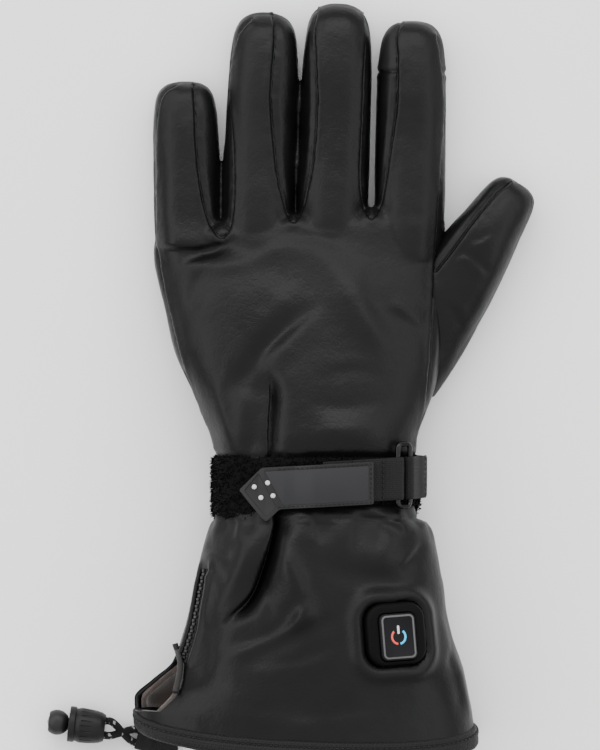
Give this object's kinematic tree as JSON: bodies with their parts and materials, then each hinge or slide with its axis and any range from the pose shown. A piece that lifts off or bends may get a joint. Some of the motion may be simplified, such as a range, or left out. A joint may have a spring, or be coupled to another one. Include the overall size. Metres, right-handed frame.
{
  "type": "heated glove",
  "caption": "Left-hand black leather gauntlet glove with a heating control on the cuff, a wrist strap with a pull tab, and a drawcord with a spring lock at the hem.",
  "frame": {"origin": "on the surface that the glove lies on, under the middle of the glove's own length and width, its free drawcord and lock left out", "axes": "+Y from the cuff's hem to the fingertips, +X to the thumb side, +Z out of the back of the hand"},
  "size_m": [0.2152, 0.3332, 0.0599],
  "materials": {
    "leather": "satin smooth grain",
    "touch_leather": "fine matte grain",
    "lining": "soft brushed knit",
    "binding": "woven edge binding",
    "piping": "tight woven piping",
    "webbing": "woven webbing",
    "pile": "loop pile",
    "zip_metal": "satin",
    "ring_metal": "dark nickel",
    "housing_plastic": "soft satin",
    "key_rubber": "satin",
    "tab_rubber": "matte",
    "insert_film": "smooth film",
    "nub_rubber": "matte",
    "cord": "braided elastic",
    "lock_plastic": "moulded",
    "plunger_plastic": "moulded"
  },
  "bodies": {
    "glove": {"back_panel": "leather", "palm_panel": "leather", "side_strip_little": "leather", "side_strip_index": "leather", "fourchette_little_ring": "leather", "fourchette_ring_middle": "leather", "fourchette_middle_index": "leather", "index_touch_tip": "touch_leather", "thumb_back": "leather", "thumb_palm": "leather", "cuff": "leather", "cuff_lining": "lining", "hem_binding": "binding", "edge_piping": "piping", "hem_loop": "webbing", "zip_tape": "webbing", "zip_teeth": "zip_metal", "control_housing": "housing_plastic", "wrist_band": "pile", "strap_webbing": "webbing", "ring_keeper": "webbing", "strap_ring": "ring_metal", "strap_tab": "tab_rubber", "tab_insert": "insert_film", "grip_nub_1": "nub_rubber", "grip_nub_2": "nub_rubber", "grip_nub_3": "nub_rubber", "grip_nub_4": "nub_rubber", "cord_channel": "webbing", "drawcord_front": "cord", "drawcord_back": "cord", "cord_lock": "lock_plastic"},
    "key": {"control_key": "key_rubber"},
    "plunger": {"lock_plunger": "plunger_plastic"}
  },
  "joints": [
    {"name": "key_press", "type": "slide", "parent": "glove", "child": "key", "axis": [-0.324, -0.0669, -0.9437], "range_m": [0, 0.0008], "stiffness_N_per_m": 1200},
    {"name": "plunger_slide", "type": "slide", "parent": "glove", "child": "plunger", "axis": [0.9925, -0.1219, 0], "range_m": [0, 0.0025], "stiffness_N_per_m": 900}
  ]
}
